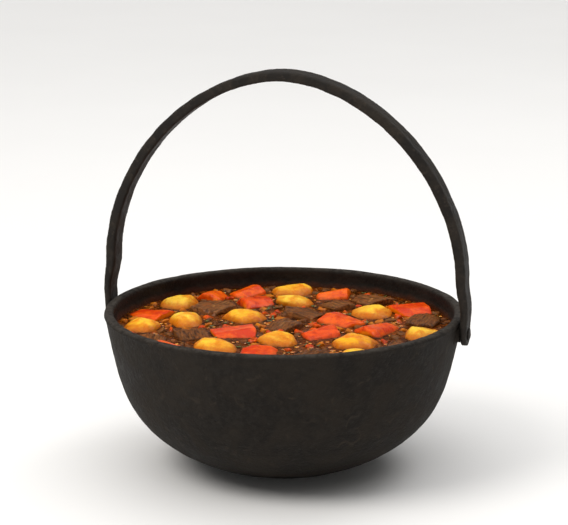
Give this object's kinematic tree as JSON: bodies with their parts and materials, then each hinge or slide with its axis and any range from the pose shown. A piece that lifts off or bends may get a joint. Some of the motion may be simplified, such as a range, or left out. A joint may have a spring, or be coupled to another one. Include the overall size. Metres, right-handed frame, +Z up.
{
  "type": "cauldron of stew",
  "caption": "Round cast-iron cooking cauldron on a small flat base, with a hinged bail, filled with meat and vegetable stew.",
  "frame": {"origin": "centre of the flat base on which the cauldron stands", "axes": "+Z up, the bail's hinge line along X, so the bail's two hinges face -X and +X"},
  "size_m": [0.3344, 0.317, 0.351],
  "materials": {
    "cast_iron": "matt, blackened by soot, finely pitted",
    "forged_iron": "matt blackened forged iron, slightly worn",
    "broth": "wet, glossy brown broth with oil",
    "potato": "wet cooked potato, golden from the broth",
    "carrot": "wet cooked carrot, red orange",
    "beef": "wet braised beef, dark brown, fibrous",
    "pepper": "wet cooked red pepper, smooth skin"
  },
  "bodies": {
    "pot": {"beef_01": "beef", "beef_02": "beef", "beef_03": "beef", "beef_04": "beef", "beef_05": "beef", "beef_06": "beef", "beef_07": "beef", "beef_08": "beef", "beef_09": "beef", "beef_10": "beef", "beef_11": "beef", "broth": "broth", "carrot_01": "carrot", "carrot_02": "carrot", "carrot_03": "carrot", "carrot_04": "carrot", "carrot_05": "carrot", "carrot_06": "carrot", "carrot_07": "carrot", "carrot_08": "carrot", "carrot_09": "carrot", "cauldron": "cast_iron", "pepper_01": "pepper", "pepper_02": "pepper", "pepper_03": "pepper", "pepper_04": "pepper", "potato_01": "potato", "potato_02": "potato", "potato_03": "potato", "potato_04": "potato", "potato_05": "potato", "potato_06": "potato", "potato_07": "potato", "potato_08": "potato", "potato_09": "potato", "potato_10": "potato", "potato_11": "potato", "potato_12": "potato", "potato_13": "potato", "rivet_left": "forged_iron", "rivet_right": "forged_iron"},
    "bail": {"bail": "forged_iron"}
  },
  "joints": [
    {"name": "bail_swing", "type": "hinge", "parent": "pot", "child": "bail", "pos_m": [0, 0, 0.13], "axis": [1, 0, 0], "range_deg": [-118, 118]}
  ]
}
